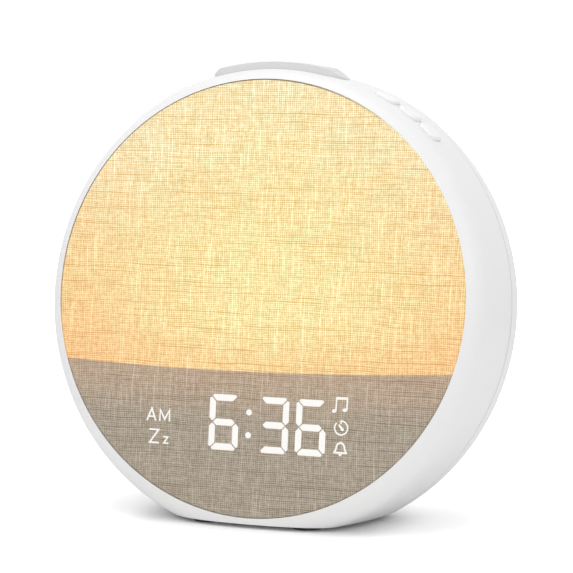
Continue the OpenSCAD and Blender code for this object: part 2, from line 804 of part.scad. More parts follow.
// Round grille with its holes in rings
module speaker_grille() color(grey_shell) at_face() translate([0, speaker_y, 0]) difference() {
  round_layer(grille_d / 2, body_depth - grille_t, body_depth);
  for (ring = [0 : 4], i = [0 : max(ring * 6 - 1, 0)])
    rotate([0, 0, ring == 0 ? 0 : i * 60 / ring]) translate([ring * grille_pitch, 0, 0])
      round_layer(grille_hole_d / 2, body_depth - grille_t - 1, body_depth + 1, $fn = 24);
}

// Revolves a speaker profile given as [radius, depth] points
module speaker_turn(points) translate([0, speaker_y, 0])
  rotate_extrude() polygon([for (p = points) [p[0], -p[1]]]);

module speaker_gasket() color(dark_plastic) at_face()
  speaker_turn([[speaker_r - 2.2, speaker_front], [speaker_r, speaker_front],
                [speaker_r, back_inside], [speaker_r - 2.2, back_inside]]);

module speaker_basket() color(dark_plastic) at_face() difference() {
  speaker_turn([[speaker_r, speaker_front], [speaker_r, speaker_front - speaker_flange_t],
                [basket_wide, speaker_front - speaker_flange_t], [basket_narrow, basket_end],
                [pole_r, basket_end], [pole_r, basket_end + 1], [basket_narrow - 0.7, basket_end + 1],
                [basket_wide - basket_wall, speaker_front - speaker_flange_t + 0.2],
                [basket_wide - basket_wall, speaker_front]]);
  for (a = [0 : 60 : 300]) translate([0, speaker_y, 0]) rotate([0, 0, a])
    translate([speaker_r - 6.5, 0, -(speaker_front + basket_end) / 2]) rotate([0, 90, 0])
      cylinder(d = 4, h = 8, center = true);
}

module speaker_surround() color(dark_plastic) at_face() translate([0, speaker_y, 0]) rotate_extrude()
  translate([(cone_rim + basket_wide - basket_wall) / 2, -speaker_front + 0.6]) difference() {
    circle(surround_r, $fn = 48);
    circle(surround_r - 0.5, $fn = 48);
    translate([0, 5]) square(10, center = true);
  }

module speaker_cone() color([0.25, 0.25, 0.26]) at_face()
  speaker_turn([[cone_rim, speaker_front - 0.6], [cone_rim, speaker_front - 1.2], [6, basket_end + 1.6],
                [0, basket_end + 1.2], [0, basket_end + 3.2], [4, basket_end + 2.8],
                [6.4, basket_end + 2.2]]);

module speaker_magnet() color(metal) at_face() translate([0, speaker_y, 0]) {
  round_layer(magnet_d / 2, speaker_end, basket_end);
  round_layer(pole_r - 0.2, basket_end, basket_end + 1);
}

// Battery door with its hinge barrel along the lower edge, drawn shut
module battery_door() color(grey_shell) at_face() {
  layer(door_seat, body_depth) translate([door_x - door_w / 2, hinge_y])
    square([door_w, door_h - hinge_r]);
  translate([door_x, hinge_y, -hinge_depth]) rotate([0, 90, 0]) {
    cylinder(r = hinge_r, h = door_w, center = true);
    cylinder(d = hinge_pin_d, h = door_w + 2 * hinge_pin_len, center = true);
  }
}

module coin_cell() color(metal) at_face() translate([door_x, door_y, 0])
  round_layer(cell_d / 2, pocket_floor + contact_t, pocket_floor + contact_t + cell_t);

module battery_contacts() color([0.80, 0.72, 0.45]) at_face() {
  layer(pocket_floor, pocket_floor + contact_t) translate([door_x, door_y]) square([14, 5], center = true);
  layer(pocket_floor, pocket_floor + cell_t) translate([door_x, door_y + cell_d / 2 + 0.45])
    square([6, 0.5], center = true);
}

// A key: its cap follows the body's curve, and a hidden flange keeps it in its slot
module key_shape(angle, sideways, w, len, depth, corner, rise, front_lip, side_lip) {
  intersection() {
    outwards(angle, sideways, depth) key_bar(w, len, corner, key_inside - 4, far_r);
    turned() difference() {
      band(-rise - 2, seam_depth) body_outline(-rise);
      translate([-1, -body_d / 2]) square([key_inside + 1, body_d]);
    }
  }
  intersection() {
    outwards(angle, sideways, depth + (key_lip - front_lip) / 2)
      key_bar(w + 2 * side_lip, len + front_lip + key_lip, corner, key_inside - 4, far_r);
    turned() difference() {
      band(0, seam_depth) body_outline(wall + flange_play);
      translate([-1, -body_d / 2]) square([key_inside + 1, body_d]);
    }
  }
}

module key_post(angle, sideways, depth)
  outwards(angle, sideways, depth) translate([0, 0, stem_top])
    cylinder(d = stem_d, h = key_inside + 1 - stem_top);

module stem(angle, sideways, depth)
  outwards(angle, sideways, depth) translate([0, 0, case_top - stem_hold])
    cylinder(d = stem_d, h = stem_rise + stem_hold);

module switch_case(angle, sideways, depth) outwards(angle, sideways, depth) difference() {
  translate([-switch_w / 2, -switch_w / 2, key_board_top]) cube([switch_w, switch_w, switch_h]);
  translate([0, 0, key_board_top + 0.5]) cylinder(d = stem_d + 2 * stem_play, h = switch_h);
}

module switch_board(angle, w, front, back, boss_x, boss_depth) difference() {
  outwards(angle, 0, (front + back) / 2) translate([-w / 2, -(back - front) / 2, key_board_top - key_board_t])
    cube([w, back - front, key_board_t]);
  for (s = [-1, 1]) screw_hole(angle, s * boss_x, boss_depth);
}

// A wedge that cuts the snooze bar's ends to their slope
module snooze_wedge() {
  top_y = sqrt(pow(crown_x + sqrt(pow(crown_r, 2) - pow(snooze_mid - seam_depth, 2)) + snooze_rise, 2)
               - pow(snooze_top_w / 2, 2));
  low = -4 * stem_drop;
  high = 2 * snooze_rise;
  on_axis() layer(0, seam_depth) polygon([
    [end_slope * low - snooze_top_w / 2, top_y + low], [end_slope * high - snooze_top_w / 2, top_y + high],
    [snooze_top_w / 2 - end_slope * high, top_y + high], [snooze_top_w / 2 - end_slope * low, top_y + low]]);
}

module snooze_bar() color(grey_shell) at_face() {
  intersection() {
    key_shape(0, 0, snooze_w, snooze_len, snooze_mid, snooze_corner, snooze_rise, 0, key_lip);
    snooze_wedge();
  }
  for (s = [-1, 1]) key_post(0, s * snooze_switch_x, snooze_mid);
}

module snooze_stems() color(dark_plastic) at_face()
  for (s = [-1, 1]) stem(0, s * snooze_switch_x, snooze_mid);

module snooze_switches() color(metal) at_face()
  for (s = [-1, 1]) switch_case(0, s * snooze_switch_x, snooze_mid);

module snooze_board() color(circuit_green) at_face()
  switch_board(0, snooze_board_w, snooze_mid - key_board_front, snooze_boss_depth + key_board_edge,
               snooze_boss_x, snooze_boss_depth);

module left_key(i) color(white_shell) at_face() {
  key_shape(left_angle, (i - 0.5) * left_pitch, left_key_w, key_len, key_mid, key_corner, key_rise,
            key_lip, 0);
  key_post(left_angle, (i - 0.5) * left_pitch, key_mid);
}

module left_stem(i) color(dark_plastic) at_face() stem(left_angle, (i - 0.5) * left_pitch, key_mid);

module left_switches() color(metal) at_face()
  for (i = [0, 1]) switch_case(left_angle, (i - 0.5) * left_pitch, key_mid);

module left_board() color(circuit_green) at_face()
  switch_board(left_angle, key_board_w, key_mid - key_board_front, key_boss_depth + key_board_edge,
               key_boss_x, key_boss_depth);

module right_key(i) color(white_shell) at_face() {
  key_shape(right_angle, i * right_pitch, right_key_w, key_len, key_mid, key_corner, key_rise,
            key_lip, 0);
  key_post(right_angle, i * right_pitch, key_mid);
}

module right_stem(i) color(dark_plastic) at_face() stem(right_angle, i * right_pitch, key_mid);

module right_switches() color(metal) at_face()
  for (i = [-1, 0, 1]) switch_case(right_angle, i * right_pitch, key_mid);

module right_board() color(circuit_green) at_face()
  switch_board(right_angle, key_board_w, key_mid - key_board_front, key_boss_depth + key_board_edge,
               key_boss_x, key_boss_depth);

module case_screws() color(metal) at_face() at_screws() {
  round_layer(screw_head_d / 2, screw_seat, screw_seat + screw_head_t);
  round_layer(screw_d / 2, seam_depth - screw_hold, screw_seat + 0.5);
}

module frame_screws() color(metal) at_face() at_frame_screws() {
  round_layer(small_head_d / 2, flange_back, flange_back + small_head_t);
  round_layer(small_screw_d / 2, ledge_back - ledge_t + 1, flange_back + 0.5);
}

module board_screws() color(metal) at_face() {
  board_screw_places() translate([0, 0, key_board_top - key_board_t]) small_screw(3);
  for (p = post_places) translate(p) {
    round_layer(small_head_d / 2, main_back, main_back + small_head_t);
    round_layer(small_screw_d / 2, main_front - post_bore + 0.2, main_back + 0.5);
  }
  power_posts(small_head_d / 2, power_front - small_head_t, power_front);
  power_posts(small_screw_d / 2, power_front - 0.5, power_back + 4);
}

module speaker_screws() color(metal) at_face() speaker_post_places() {
  round_layer(3.4, speaker_front - speaker_flange_t - 1.2, speaker_front - speaker_flange_t);
  round_layer(small_screw_d / 2, speaker_front - speaker_flange_t - 0.6, back_inside - 0.2);
}

module rubber_feet() color([0.25, 0.25, 0.25]) at_feet() translate([0, 0, -foot_h])
  cylinder(d = foot_d, h = foot_h + foot_pocket);

// Flat ribbons, drawn as a side outline and given their width
module ribbon(w, points) rotate([0, 90, 0]) translate([0, 0, -w / 2]) linear_extrude(w)
  polygon([for (p = points) [p[1], p[0]]]);

module led_ribbon() color("white") at_face() {
  top = led_slot_y + 6;
  fold = led_slot_y + 8;
  ribbon(led_ribbon_w, [
    [top, led_board_front - ribbon_t], [top, led_board_front], [led_slot_y + ribbon_t, led_board_front],
    [led_slot_y + ribbon_t, main_front - ribbon_t], [fold, main_front - ribbon_t], [fold, main_front],
    [led_slot_y, main_front], [led_slot_y, led_board_front - ribbon_t]]);
}

module display_ribbon() color("white") at_face() {
  inside = display_slot_y + ribbon_t;
  fold = display_slot_y + 6;
  ribbon(display_ribbon_w, [
    [display_slot_y, display_back + board_t], [inside, display_back + board_t],
    [inside, main_front - ribbon_t], [fold, main_front - ribbon_t], [fold, main_front],
    [display_slot_y, main_front]]);
}

// A round wire along a few straight stretches
module wire(points) for (i = [0 : len(points) - 2]) {
  d = points[i + 1] - points[i];
  translate(points[i]) {
    rotate([0, acos(d[2] / norm(d)), atan2(d[1], d[0])]) cylinder(r = wire_r, h = norm(d), $fn = 16);
    if (i > 0) sphere(r = 1.05 * wire_r, $fn = 16);
  }
}

// Depth of the speaker basket's outer slope at a distance from its middle
function basket_depth(r) = basket_end + (r - basket_narrow) / (basket_wide - basket_narrow)
  * (speaker_front - speaker_flange_t - basket_end);

module speaker_wires() color([0.75, 0.12, 0.10]) at_face() for (s = [-1, 1]) {
  p = connector_places[0];
  side = p[1] + connector_h / 2;
  level = -main_back - 2 * connector_t / 3;
  reach = basket_narrow + 2.7;
  wire([[p[0] + 2 * s, side, level], [p[0] + 2 * s, side + 4.5, level],
        [p[0] + 2 * s, speaker_y - reach - 0.4, level - 7.8],
        [p[0] + 2 * s, speaker_y - reach, 0.25 - basket_depth(reach - wire_r)]]);
}

module power_wires() color([0.15, 0.15, 0.16]) at_face() for (s = [-1, 1]) {
  p = connector_places[2];
  x = p[0] + 1.6 * s;
  side = p[1] + connector_h / 2;
  level = -main_back - 2 * connector_t / 3;
  wire([[x, side, level], [x, side + 2.3, level], [x, side - 0.5, level - 4.8],
        [x, inlet_y + 3, level - 8.3], [x, inlet_y + 3, -power_front]]);
}

front_housing();
rear_cover();
fabric_front();
front_panel();
light_gasket();
light_frame();
led_board();
wake_leds();
display_housing();
display_segments();
display_board();
main_board();
board_chips();
board_capacitors();
board_connectors();
power_board();
usb_inlet();
speaker_grille();
speaker_gasket();
speaker_basket();
speaker_surround();
speaker_cone();
speaker_magnet();
battery_door();
coin_cell();
battery_contacts();
snooze_bar();
snooze_stems();
snooze_switches();
snooze_board();
left_key(0);  // left_key_1
left_key(1);  // left_key_2
left_stem(0);  // left_stem_1
left_stem(1);  // left_stem_2
left_switches();
left_board();
right_key(-1);  // right_key_1
right_key(0);  // right_key_2
right_key(1);  // right_key_3
right_stem(-1);  // right_stem_1
right_stem(0);  // right_stem_2
right_stem(1);  // right_stem_3
right_switches();
right_board();
case_screws();
frame_screws();
board_screws();
speaker_screws();
rubber_feet();
led_ribbon();
display_ribbon();
speaker_wires();
power_wires();
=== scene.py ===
import math

import bmesh
import bpy
from mathutils import Matrix, Vector


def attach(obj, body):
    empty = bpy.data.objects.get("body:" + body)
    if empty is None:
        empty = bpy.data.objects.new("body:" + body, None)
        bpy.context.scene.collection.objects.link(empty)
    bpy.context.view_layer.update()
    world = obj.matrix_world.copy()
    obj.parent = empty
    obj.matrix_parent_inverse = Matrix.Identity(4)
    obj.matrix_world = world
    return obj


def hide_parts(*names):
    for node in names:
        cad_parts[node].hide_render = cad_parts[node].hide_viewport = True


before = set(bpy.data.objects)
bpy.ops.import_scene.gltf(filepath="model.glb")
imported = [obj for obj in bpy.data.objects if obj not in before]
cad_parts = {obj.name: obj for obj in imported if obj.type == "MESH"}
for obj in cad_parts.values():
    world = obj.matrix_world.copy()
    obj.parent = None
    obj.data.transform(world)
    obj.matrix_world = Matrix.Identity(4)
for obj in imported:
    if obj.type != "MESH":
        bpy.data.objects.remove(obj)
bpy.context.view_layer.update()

# ---------------------------------------------------------------- the construction's own sizes, in mm
MM = 0.001
TILT = math.radians(6.8)                            # the face leans back
BODY_R, BODY_DEPTH = 88.15, 50.4
SEAM = 32.7                                         # depth of the parting plane, where the wall is widest
CROWN_R, SHOULDER_R, BACK_R = 270.0, 10.1, 12.8     # arcs of the wall, the shoulder and the back's edge
ROUND_CUT = 0.05
LIP = 0.6                                           # the shoulder stands proud of the cloth
DROP = 1.5                                          # the body's axis is this much below the cloth's middle
FABRIC_R, FABRIC_GAP = 80.55, 0.35
FOOT_H, CENTRE_HEIGHT = 1.6, 82.7


def crown_angle(z, radius):
    """Angle on the wall's arc where a rounding of that radius, centred at z, meets it."""
    return math.asin((z + SEAM) / (CROWN_R - radius))


CROWN_X = BODY_R - CROWN_R
SHOULDER_Z = LIP - SHOULDER_R + ROUND_CUT
SHOULDER_A = crown_angle(SHOULDER_Z, SHOULDER_R)
SHOULDER_X = CROWN_X + (CROWN_R - SHOULDER_R) * math.cos(SHOULDER_A)
ROUND_Z = BACK_R - BODY_DEPTH - ROUND_CUT
ROUND_A = crown_angle(ROUND_Z, BACK_R)
ROUND_X = CROWN_X + (CROWN_R - BACK_R) * math.cos(ROUND_A)
EDGE_R = FABRIC_R + FABRIC_GAP
EDGE_Z = SHOULDER_Z + math.sqrt(SHOULDER_R ** 2 - (EDGE_R - DROP - SHOULDER_X) ** 2)
FRONT_REACH = -EDGE_R * math.sin(TILT) - EDGE_Z * math.cos(TILT)
BACK_REACH = (ROUND_X - DROP) * math.sin(TILT) - ROUND_Z * math.cos(TILT) + BACK_R
FACE_Y = -(FRONT_REACH + BACK_REACH) / 2
FACE_Z = FOOT_H + CENTRE_HEIGHT

# The face's own frame: x to the right, y up the face, z out of the cloth
FACE = Matrix.Translation((0, FACE_Y * MM, FACE_Z * MM)) @ Matrix.Rotation(math.pi / 2 - TILT, 4, "X")


def body_radius(depth):
    """Radius of the body about its axis, at a depth behind the cloth's front."""
    z = -depth
    if z > CROWN_R * math.sin(SHOULDER_A) - SEAM:
        return SHOULDER_X + math.sqrt(max(SHOULDER_R ** 2 - (z - SHOULDER_Z) ** 2, 0))
    if z < CROWN_R * math.sin(ROUND_A) - SEAM:
        return ROUND_X + math.sqrt(max(BACK_R ** 2 - (z - ROUND_Z) ** 2, 0))
    return CROWN_X + math.sqrt(CROWN_R ** 2 - (z + SEAM) ** 2)


# ---------------------------------------------------------------- node helpers
class Tree:
    """Short ways to add nodes to one material."""

    def __init__(self, name):
        self.mat = bpy.data.materials.new(name)
        self.mat.use_nodes = True
        self.nt = self.mat.node_tree
        self.bsdf = self.nt.nodes["Principled BSDF"]

    def put(self, socket, value):
        """Sets a socket to a number or a colour, or links it to an output."""
        if isinstance(value, (int, float)):
            socket.default_value = value
        elif isinstance(value, tuple):
            alpha = (1.0,) * (len(socket.default_value) - len(value))
            socket.default_value = value + alpha
        else:
            self.nt.links.new(value, socket)

    def set(self, **values):
        """Sets inputs of the surface shader, such as base_color."""
        for name, value in values.items():
            self.put(self.bsdf.inputs[name.replace("_", " ").title().replace("Ior", "IOR")], value)

    def node(self, kind, inputs, **settings):
        """Outputs of a new node. Its inputs are given by name or by number."""
        n = self.nt.nodes.new("ShaderNode" + kind)
        for name, value in settings.items():
            setattr(n, name, value)
        for key, value in inputs.items():
            self.put(n.inputs[key], value)
        return n.outputs

    def math(self, op, a, b=0.0, c=0.0, clamp=False):
        return self.node("Math", {0: a, 1: b, 2: c}, operation=op, use_clamp=clamp)[0]

    def add(self, a, b):
        return self.math("ADD", a, b)

    def mul(self, a, b):
        return self.math("MULTIPLY", a, b)

    def less(self, a, b):
        return self.math("SUBTRACT", a, b)

    def magnitude(self, a):
        return self.math("ABSOLUTE", a)

    def ramp(self, x, lo, hi, out_lo=0.0, out_hi=1.0):
        """A smooth step of x from lo to hi."""
        inputs = {"Value": x, "From Min": lo, "From Max": hi, "To Min": out_lo, "To Max": out_hi}
        return self.node("MapRange", inputs, interpolation_type="SMOOTHSTEP")["Result"]

    def away(self, x, y, middle=(0.0, 0.0), flatness=1.0):
        """Distance from a middle, with heights counted by their flatness."""
        dx, dy = self.less(x, middle[0]), self.less(y, middle[1])
        return self.math("SQRT", self.add(self.mul(dx, dx), self.mul(self.mul(dy, dy), flatness)))

    def scaled(self, *by):
        """The object's coordinates times one factor, or one for each axis."""
        coord = self.node("TexCoord", {})["Object"]
        return self.node("VectorMath", {0: coord, 1: by if len(by) == 3 else by * 3}, operation="MULTIPLY")[0]

    def mm(self):
        """The object's x, y and z in mm."""
        return self.node("SeparateXYZ", {0: self.scaled(1000)})

    def noise(self, at, scale=1.0, detail=2.0, rough=0.5):
        return self.node("TexNoise", {"Vector": at, "Scale": scale, "Detail": detail, "Roughness": rough})["Fac"]

    def streaks(self, x, per_x, y, per_y, seed=0.0, detail=2.0):
        """Noise with a scale of its own for each of two values."""
        at = self.node("CombineXYZ", {0: self.mul(x, per_x), 1: self.mul(y, per_y), 2: seed})[0]
        return self.noise(at, detail=detail)

    def mix(self, fac, a, b):
        return self.node("Mix", {"Factor": fac, "A": a, "B": b}, data_type="RGBA")["Result"]

    def shade(self, colour, factor):
        """A colour times a grey factor."""
        return self.node("VectorMath", {0: colour, "Scale": factor}, operation="SCALE")[0]

    def tint(self, colour, by):
        """A colour times a colour."""
        return self.node("VectorMath", {0: colour, 1: by}, operation="MULTIPLY")[0]

    def bump(self, height, distance, strength):
        n = self.node("Bump", {"Strength": strength, "Distance": distance, "Height": height})
        self.set(normal=n[0])


# ---------------------------------------------------------------- kinds of material
# half width, fade and darkness of the painted shadow along the parting line
SEAM_HALF, SEAM_FADE, SEAM_SHADE = 0.3, 0.75, 0.62


def dimmed(colour, by):
    return tuple(c * by for c in colour)


def moulded(name, colour, rough=0.42, painted_seam_shadow=False):
    """Moulded plastic: a fine spark-eroded grain, roughness that varies a little over the surface, and where asked a
    painted shadow along the parting line.
    """
    t = Tree(name)
    broad = t.noise(t.scaled(28), detail=3)
    grain = t.noise(t.scaled(2600))
    shown = t.mix(t.ramp(broad, 0.3, 0.7), dimmed(colour, 0.985), colour)
    if painted_seam_shadow:    # painted shade: a thin shadow is painted along the parting line between the two shells
        _, y, z = t.mm()
        depth = t.less(t.mul(t.less(y, FACE_Y), math.cos(TILT)), t.mul(t.less(z, FACE_Z), math.sin(TILT)))
        shown = t.shade(shown, t.ramp(t.magnitude(t.less(depth, SEAM)), SEAM_HALF, SEAM_FADE, SEAM_SHADE, 1.0))
    uneven = t.ramp(broad, 0.25, 0.75, rough - 0.04, rough + 0.04)
    t.set(base_color=shown, roughness=t.add(uneven, t.mul(grain, 0.05)))
    t.bump(grain, 0.000027, 0.5)
    return t.mat


def metal(name, colour, rough=0.3):
    """Plated or drawn metal with fine lines."""
    t = Tree(name)
    lines = t.noise(t.scaled(40, 40, 2400), detail=3)
    t.set(base_color=t.mix(lines, dimmed(colour, 0.86), colour),
          roughness=t.ramp(lines, 0.2, 0.8, rough - 0.08, rough + 0.1), metallic=1.0)
    t.bump(lines, 0.00002, 0.4)
    return t.mat


def soft(name, colour, rough=0.8, scale=900, depth=0.00006):
    """Rubber, foam or pressed paper."""
    t = Tree(name)
    grain = t.noise(t.scaled(scale), detail=4, rough=0.6)
    t.set(base_color=t.mix(t.ramp(grain, 0.3, 0.7), dimmed(colour, 0.82), colour),
          roughness=t.ramp(grain, 0.2, 0.8, rough - 0.08, rough + 0.06))
    t.bump(grain, depth, 0.6)
    return t.mat


def board(name, base, trace):
    """Circuit board: lacquer over tracks on a fine grid."""
    t = Tree(name)
    x, y, _ = t.mm()
    grid = t.node("CombineXYZ", {0: t.math("SNAP", x, 0.8), 1: t.math("SNAP", y, 2.4)})[0]
    track = t.ramp(t.noise(grid, scale=0.9, detail=1), 0.52, 0.56)
    t.set(base_color=t.mix(track, base, trace), roughness=t.ramp(track, 0, 1, 0.42, 0.3))
    t.bump(track, 0.00004, 0.6)
    return t.mat


def glowing(name, base, light, strength, rough=0.5):
    """A small part that gives light of its own."""
    t = Tree(name)
    t.set(base_color=t.mix(t.noise(t.scaled(1500)), dimmed(base, 0.93), base), roughness=rough,
          emission_color=light, emission_strength=strength)
    return t.mat


# ---------------------------------------------------------------- the linen
THREAD = 0.74                                       # spacing of the threads, in mm
YARN_DARK, YARN_LIGHT = (0.232, 0.185, 0.128), (0.565, 0.498, 0.410)
GAP_SHADE_BROWN = (0.14, 0.085, 0.05)                     # painted shade: the dark gap round the cloth's turned edge, painted onto the cloth's rim
RIM_LOW, RIM_HIGH = 0.22, 0.84                      # where that gap and its painted shade begin to show, towards the upper left
TOWARDS = (-0.52, 0.84)                             # the upper left
GLOW_X, GLOW_Y, GLOW_R = -13.4, -27.4, 1313.0       # lowest point and radius of the light divider's curve
HOT_X, HOT_Y, HOT_REACH = 5.0, 4.0, 92.0            # where the glow is hottest
LAMP_HOT = (0.565, 0.49, 0.155)
LAMP_LOW, LAMP_MIDDLE, LAMP_TOP = (0.55, 0.262, 0.010), (0.545, 0.335, 0.060), (0.55, 0.47, 0.255)
THROUGH_THIN, THROUGH_THICK = (1.02, 1.17, 1.40), (0.90, 0.60, 0.05)
SPILL = (0.10, 0.032, 0.0)                          # warm light that creeps below the divider


def weave(t, x, y):
    """Plain weave with uneven threads. Gives its lightness, which thread lies on top, and its raw tone."""
    bend = t.less(t.streaks(x, 0.05, y, 0.05, detail=1), 0.5)
    swell_x = t.streaks(x, 0.55, y, 0.02, 21.0, detail=1)
    swell_y = t.streaks(x, 0.02, y, 0.55, 23.0, detail=1)
    u = t.mul(t.add(x, t.add(t.mul(bend, 1.6), swell_x)), 1 / THREAD)
    v = t.mul(t.add(y, t.add(t.mul(bend, 1.1), swell_y)), 1 / THREAD)
    cu, cv = (t.math("COSINE", t.mul(w, math.pi)) for w in (u, v))
    round_u, round_v = t.magnitude(cu), t.magnitude(cv)
    over = t.ramp(t.mul(cu, cv), -0.25, 0.25)
    top = t.math("MULTIPLY_ADD", over, t.less(round_u, round_v), round_v)
    hole = t.mul(t.less(1.0, round_u), t.less(1.0, round_v))
    # Each thread is lighter and darker along its length, and some run thick and light for a stretch
    row, col = t.math("ROUND", v), t.math("ROUND", u)
    row_tone = t.streaks(x, 0.16, row, 0.73)
    col_tone = t.streaks(col, 0.91, y, 0.13, 3.0)
    slub = t.ramp(t.streaks(col, 0.87, y, 0.045, 7.0, detail=1), 0.57, 0.70)
    # Long gaps between two rows, and places where the weave is open
    dash = t.ramp(t.streaks(x, 0.022, t.math("FLOOR", v), 0.83, 5.0), 0.53, 0.63)
    slit = t.mul(t.mul(dash, t.less(1.0, round_v)), t.math("MULTIPLY_ADD", round_u, -0.55, 1.0))
    open_mesh = t.ramp(t.streaks(col, 0.63, row, 0.59, 17.0, detail=0), 0.44, 0.62)
    patch = t.streaks(x, 0.10, y, 0.14, 9.0)
    tone = t.mul(t.less(row_tone, 0.5), 0.58)
    for part, middle, weight in ((col_tone, 0.5, 0.62), (patch, 0.5, 0.10), (top, 0.64, 0.55),
                                 (slub, 0.0, 0.26), (slit, 0.0, -0.85)):
        tone = t.add(tone, t.mul(t.less(part, middle), weight))
    tone = t.less(tone, t.mul(hole, t.add(t.mul(open_mesh, 2.7), 0.15)))
    return t.math("ADD", tone, 0.66, clamp=True), top, tone


def lamp_light(t, x, y, inside):
    """The lamps' light: yellow in the middle, paler towards the top, orange towards the divider."""
    blotch = t.streaks(x, 0.03, y, 0.04, 5.0)
    far = t.away(x, y, (HOT_X, HOT_Y), 0.8)
    hot = t.less(t.ramp(far, 8.0, HOT_REACH, 1.0, 0.0), t.mul(t.less(blotch, 0.5), 0.35))
    outer = t.mix(t.ramp(y, -24.0, 8.0), LAMP_LOW, LAMP_MIDDLE)
    outer = t.mix(t.ramp(y, 2.0, 68.0), outer, LAMP_TOP)
    return t.mix(t.mul(hot, t.ramp(inside, 0.0, 20.0, 0.50, 1.0)), outer, LAMP_HOT)


def linen():
    """Grey-beige yarn, with warm light from behind above the divider and none below it, and a painted shadow along
    its edge towards the upper left.
    """
    t = Tree("linen_cloth")
    x, y, _ = t.mm()
    level, top, tone = weave(t, x, y)
    # Painted shade: the cloth's outer rim is darkened to brown and its glow held back, most towards the upper left,
    # as if the gap round it lay in shadow
    upper = t.ramp(t.add(t.mul(y, TOWARDS[1]), t.mul(x, TOWARDS[0])), RIM_LOW * FABRIC_R, RIM_HIGH * FABRIC_R)
    gap_shade = t.mul(t.ramp(t.away(x, y), FABRIC_R - 0.40, FABRIC_R - 0.10), t.mul(upper, 0.8))
    t.set(base_color=t.mix(gap_shade, t.mix(level, YARN_DARK, YARN_LIGHT), GAP_SHADE_BROWN),
          roughness=t.ramp(level, 0.0, 1.0, 0.88, 0.78), specular_ior_level=0.2,
          sheen_weight=0.15, sheen_roughness=0.5)
    inside = t.less(GLOW_R, t.away(x, y, (GLOW_X, GLOW_Y + GLOW_R)))
    lit = t.ramp(inside, -0.25, 0.45)
    light = lamp_light(t, x, y, inside)
    through = t.mix(level, t.tint(light, THROUGH_THICK), t.tint(light, THROUGH_THIN))
    glow = t.shade(through, t.mul(lit, t.less(1.0, gap_shade)))
    spill = t.mul(t.ramp(inside, -24.0, 2.0), t.less(1.0, lit))
    t.set(emission_color=t.mix(spill, glow, SPILL), emission_strength=1.03)
    t.bump(t.add(top, t.mul(tone, 0.5)), 0.00012, 0.5)
    return t.mat


# ---------------------------------------------------------------- materials
WHITE = moulded("shell_white", (0.86, 0.86, 0.865), rough=0.38, painted_seam_shadow=True)
GREY = moulded("shell_grey", (0.70, 0.70, 0.71), rough=0.45)
KEYS = moulded("key_white", (0.90, 0.90, 0.905), rough=0.40)
DARK = moulded("plastic_dark", (0.018, 0.018, 0.02), rough=0.5)
MILKY = moulded("panel_milky", (0.84, 0.81, 0.72), rough=0.45)
REFLECT = moulded("reflector_white", (0.92, 0.92, 0.91), rough=0.6)
NATURAL = moulded("connector_natural", (0.80, 0.76, 0.64), rough=0.5)
SEGMENT = moulded("segment_milky", (0.85, 0.85, 0.82), rough=0.5)
BLACKED = moulded("basket_black", (0.02, 0.02, 0.022), rough=0.35)
FILM = moulded("ribbon_film", (0.72, 0.74, 0.78), rough=0.35)
RED = moulded("wire_red", (0.42, 0.02, 0.015), rough=0.4)
BLACK = moulded("wire_black", (0.015, 0.015, 0.015), rough=0.4)
FOAM = soft("foam_white", (0.80, 0.80, 0.78), rough=0.9, scale=1400)
RUBBER = soft("foot_rubber", (0.045, 0.045, 0.047), rough=0.75)
SURROUND = soft("surround_rubber", (0.02, 0.02, 0.02), rough=0.6)
PAPER = soft("cone_paper", (0.035, 0.035, 0.037), rough=0.85, scale=500, depth=0.0001)
STEEL = metal("steel_plated", (0.66, 0.66, 0.67), rough=0.28)
SCREW = metal("steel_screw", (0.55, 0.55, 0.56), rough=0.35)
CAN = metal("aluminium_can", (0.72, 0.73, 0.74))
BRASS = metal("contact_brass", (0.80, 0.60, 0.28))
GREEN = board("board_green", (0.012, 0.085, 0.040), (0.020, 0.14, 0.062))
LEDBOARD = board("board_white", (0.80, 0.81, 0.80), (0.86, 0.87, 0.86))
PHOSPHOR = glowing("lamp_phosphor", (0.95, 0.66, 0.16), (1.0, 0.72, 0.30), 0.9)
LIT = glowing("lit_signs", (0.88, 0.865, 0.84), (1.0, 0.975, 0.93), 0.15, rough=0.6)

NODE_MATERIALS = {
    "front_housing": WHITE, "rear_cover": WHITE, "fabric_front": MILKY, "front_panel": MILKY, "light_gasket": FOAM,
    "light_frame": REFLECT, "led_board": LEDBOARD, "wake_leds": PHOSPHOR, "display_housing": DARK,
    "display_segments": SEGMENT, "display_board": GREEN, "main_board": GREEN, "board_chips": DARK,
    "board_capacitors": CAN, "board_connectors": NATURAL, "power_board": GREEN, "usb_inlet": STEEL,
    "speaker_grille": GREY, "speaker_gasket": FOAM, "speaker_basket": BLACKED, "speaker_surround": SURROUND,
    "speaker_cone": PAPER, "speaker_magnet": STEEL, "battery_door": WHITE, "coin_cell": STEEL,
    "battery_contacts": BRASS, "snooze_bar": GREY, "snooze_board": GREEN, "case_screws": SCREW,
    "frame_screws": SCREW, "board_screws": SCREW, "speaker_screws": SCREW, "rubber_feet": RUBBER,
    "led_ribbon": FILM, "display_ribbon": FILM, "speaker_wires": RED, "power_wires": BLACK,
    "left_board": GREEN, "right_board": GREEN,
}


def material_of(node):
    if node in NODE_MATERIALS:
        return NODE_MATERIALS[node]
    if "_key_" in node:
        return KEYS
    return STEEL if "switches" in node else DARK        # the others are the switches' plungers


def dress_nodes():
    for name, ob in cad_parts.items():
        for slot in ob.material_slots:
            slot.material = material_of(name)


